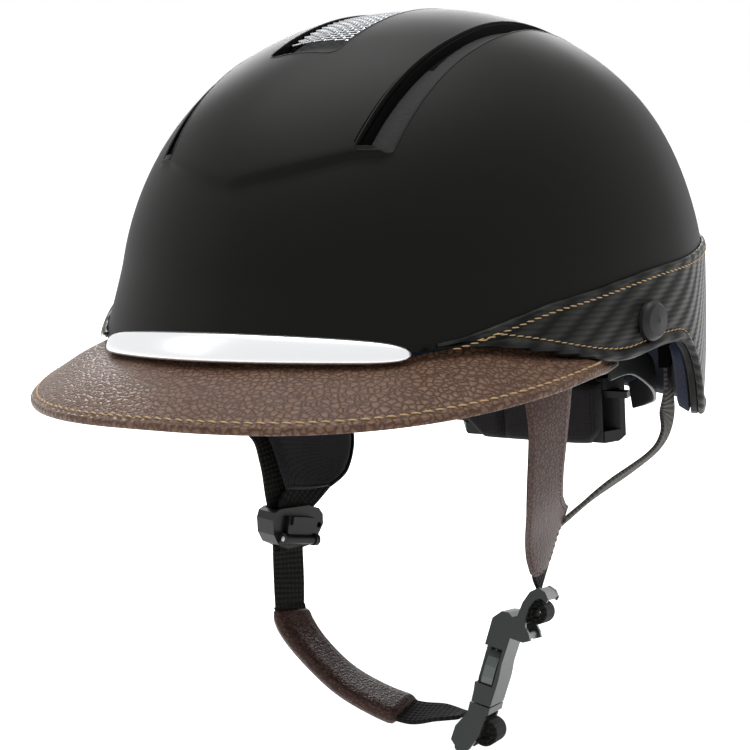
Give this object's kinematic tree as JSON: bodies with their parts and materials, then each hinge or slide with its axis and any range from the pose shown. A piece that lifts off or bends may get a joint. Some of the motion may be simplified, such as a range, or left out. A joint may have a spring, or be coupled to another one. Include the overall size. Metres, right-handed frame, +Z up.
{
  "type": "riding helmet",
  "caption": "Peaked riding helmet: vented dome shell with leather peak, silver front trim, webbing harness with side-release buckle, leather chin pad and nape dial.",
  "frame": {"origin": "centre of the head opening, level with the shell's widest line", "axes": "-Y towards the front (peak), +X towards the wearer's left, +Z up"},
  "size_m": [0.2188, 0.3136, 0.2714],
  "materials": {
    "shell_black": "soft-touch black",
    "foam_black": "matte",
    "trim_silver": "satin silver",
    "band_carbon": "twill-textured, stitched",
    "grille_metal": "bright",
    "vent_black": "matte",
    "leather_brown": "pebbled, stitched",
    "peak_cloth": "matte",
    "rivet_grey": "satin",
    "steel": "satin",
    "lining_navy": "soft",
    "webbing_black": "woven",
    "buckle_grey": "satin",
    "prong_grey": "satin",
    "cradle_grey": "satin",
    "cradle_cloth": "soft"
  },
  "bodies": {
    "shell": {"outer_shell": "shell_black", "foam_liner": "foam_black", "front_trim": "trim_silver", "side_band": "band_carbon", "vent_grille": "grille_metal", "vent_intake": "vent_black", "left_vent_channel": "vent_black", "right_vent_channel": "vent_black", "peak_core": "foam_black", "peak_leather": "leather_brown", "peak_lining": "peak_cloth", "left_rivet": "rivet_grey", "right_rivet": "rivet_grey", "left_rivet_washer": "steel", "right_rivet_washer": "steel", "brow_pad": "lining_navy", "left_side_pad": "lining_navy", "right_side_pad": "lining_navy", "crown_pad": "lining_navy", "nape_lining": "lining_navy", "left_front_anchor": "vent_black", "right_front_anchor": "vent_black", "left_rear_anchor": "vent_black", "right_rear_anchor": "vent_black", "left_front_webbing": "webbing_black", "left_rear_webbing": "webbing_black", "left_strap_cover": "leather_brown", "right_front_webbing": "webbing_black", "right_rear_webbing": "webbing_black", "right_strap_pad": "webbing_black", "buckle_socket": "buckle_grey", "upper_roll": "webbing_black", "left_side_strap": "cradle_grey", "right_side_strap": "cradle_grey"},
    "chin_strap": {"buckle_plug": "buckle_grey", "lower_roll": "webbing_black", "chin_webbing": "webbing_black", "chin_pad": "leather_brown"},
    "front_latch": {"front_prong": "prong_grey"},
    "rear_latch": {"rear_prong": "prong_grey"},
    "divider": {"strap_divider": "buckle_grey", "divider_pin": "steel"},
    "divider_cam": {"divider_lock": "buckle_grey"},
    "cradle": {"cradle_housing": "cradle_grey", "cradle_cover": "cradle_grey", "cradle_pad": "cradle_cloth"},
    "dial": {"dial_knob": "buckle_grey", "dial_pinion": "cradle_grey"},
    "left_reel": {"left_rack": "cradle_grey"},
    "right_reel": {"right_rack": "cradle_grey"}
  },
  "joints": [
    {"name": "buckle_release", "type": "slide", "parent": "shell", "child": "chin_strap", "axis": [-0.1874, -0.351, -0.9174], "range_m": [0, 0.024], "deforming": ["front_prong", "rear_prong"]},
    {"name": "latch_squeeze", "type": "hinge", "parent": "chin_strap", "child": "rear_latch", "pos_m": [0.04134, -0.04099, -0.13815], "axis": [0.9631, 0.1182, -0.2419], "range_deg": [0, 10], "stiffness_Nm_per_rad": 0.05},
    {"name": "front_latch_squeeze", "type": "hinge", "parent": "chin_strap", "child": "front_latch", "pos_m": [0.04397, -0.05363, -0.13386], "axis": [0.9631, 0.1182, -0.2419], "range_deg": [-10.5, 0.5], "stiffness_Nm_per_rad": 0.05},
    {"name": "divider_slide", "type": "slide", "parent": "shell", "child": "divider", "axis": [0.0499, 0, 0.9988], "range_m": [-0.006, 0.006], "deforming": ["right_front_webbing", "right_rear_webbing"]},
    {"name": "divider_lock_turn", "type": "hinge", "parent": "divider", "child": "divider_cam", "pos_m": [-0.04369, -0.03465, -0.0874], "axis": [0.2394, 0.9258, -0.2924], "range_deg": [0, 75]},
    {"name": "dial_turn", "type": "hinge", "parent": "cradle", "child": "dial", "pos_m": [0, 0.105, -0.062], "axis": [0, -1, 0], "range_deg": [-30, 150], "deforming": ["left_side_strap", "right_side_strap"]},
    {"name": "cradle_slide", "type": "slide", "parent": "shell", "child": "cradle", "axis": [0, -1, 0], "range_m": [-0.0021, 0.0101], "deforming": ["left_side_strap", "right_side_strap"]},
    {"name": "left_rack_slide", "type": "slide", "parent": "shell", "child": "left_reel", "axis": [-0.7946, -0.6071, 0], "range_m": [-0.0034, 0.0166], "deforming": ["left_side_strap"]},
    {"name": "right_rack_slide", "type": "slide", "parent": "shell", "child": "right_reel", "axis": [0.7946, -0.6071, 0], "range_m": [-0.0034, 0.0166], "deforming": ["right_side_strap"]}
  ],
  "couplings": [
    {"joint": "cradle_slide", "follows": "dial_turn", "m_per_rad": 0.00382},
    {"joint": "left_rack_slide", "follows": "dial_turn", "m_per_rad": 0.0062923},
    {"joint": "right_rack_slide", "follows": "dial_turn", "m_per_rad": 0.0062923},
    {"joint": "front_latch_squeeze", "follows": "latch_squeeze", "ratio": -1}
  ]
}
